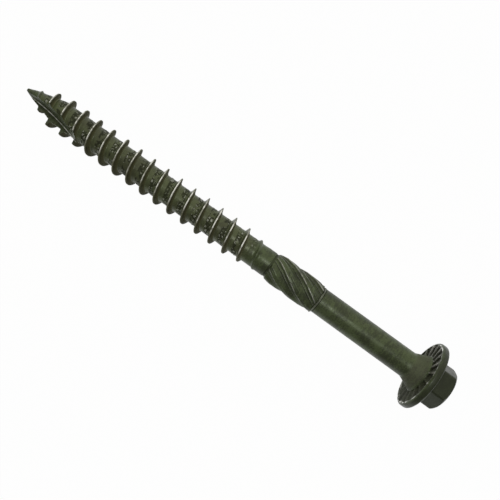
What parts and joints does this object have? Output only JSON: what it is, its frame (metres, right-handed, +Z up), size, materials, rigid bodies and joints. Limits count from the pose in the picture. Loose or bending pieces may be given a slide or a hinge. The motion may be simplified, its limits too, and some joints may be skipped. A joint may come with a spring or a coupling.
{
  "type": "hex flange timber screw",
  "caption": "Hexagon flange timber screw with a serrated bearing face, plain shank, helical reamer, coarse partial thread and a cutting flute at the point.",
  "frame": {"origin": "on the floor, under the middle of the bounding box of the screw lying at rest", "axes": "+X along the screw from tip to head, +Z up from the floor, +Y across"},
  "size_m": [0.0962, 0.0136, 0.0135],
  "materials": {
    "olive_coating": "satin dark olive-green coating on steel"
  },
  "bodies": {
    "root": {"timber_screw": "olive_coating"}
  },
  "joints": []
}
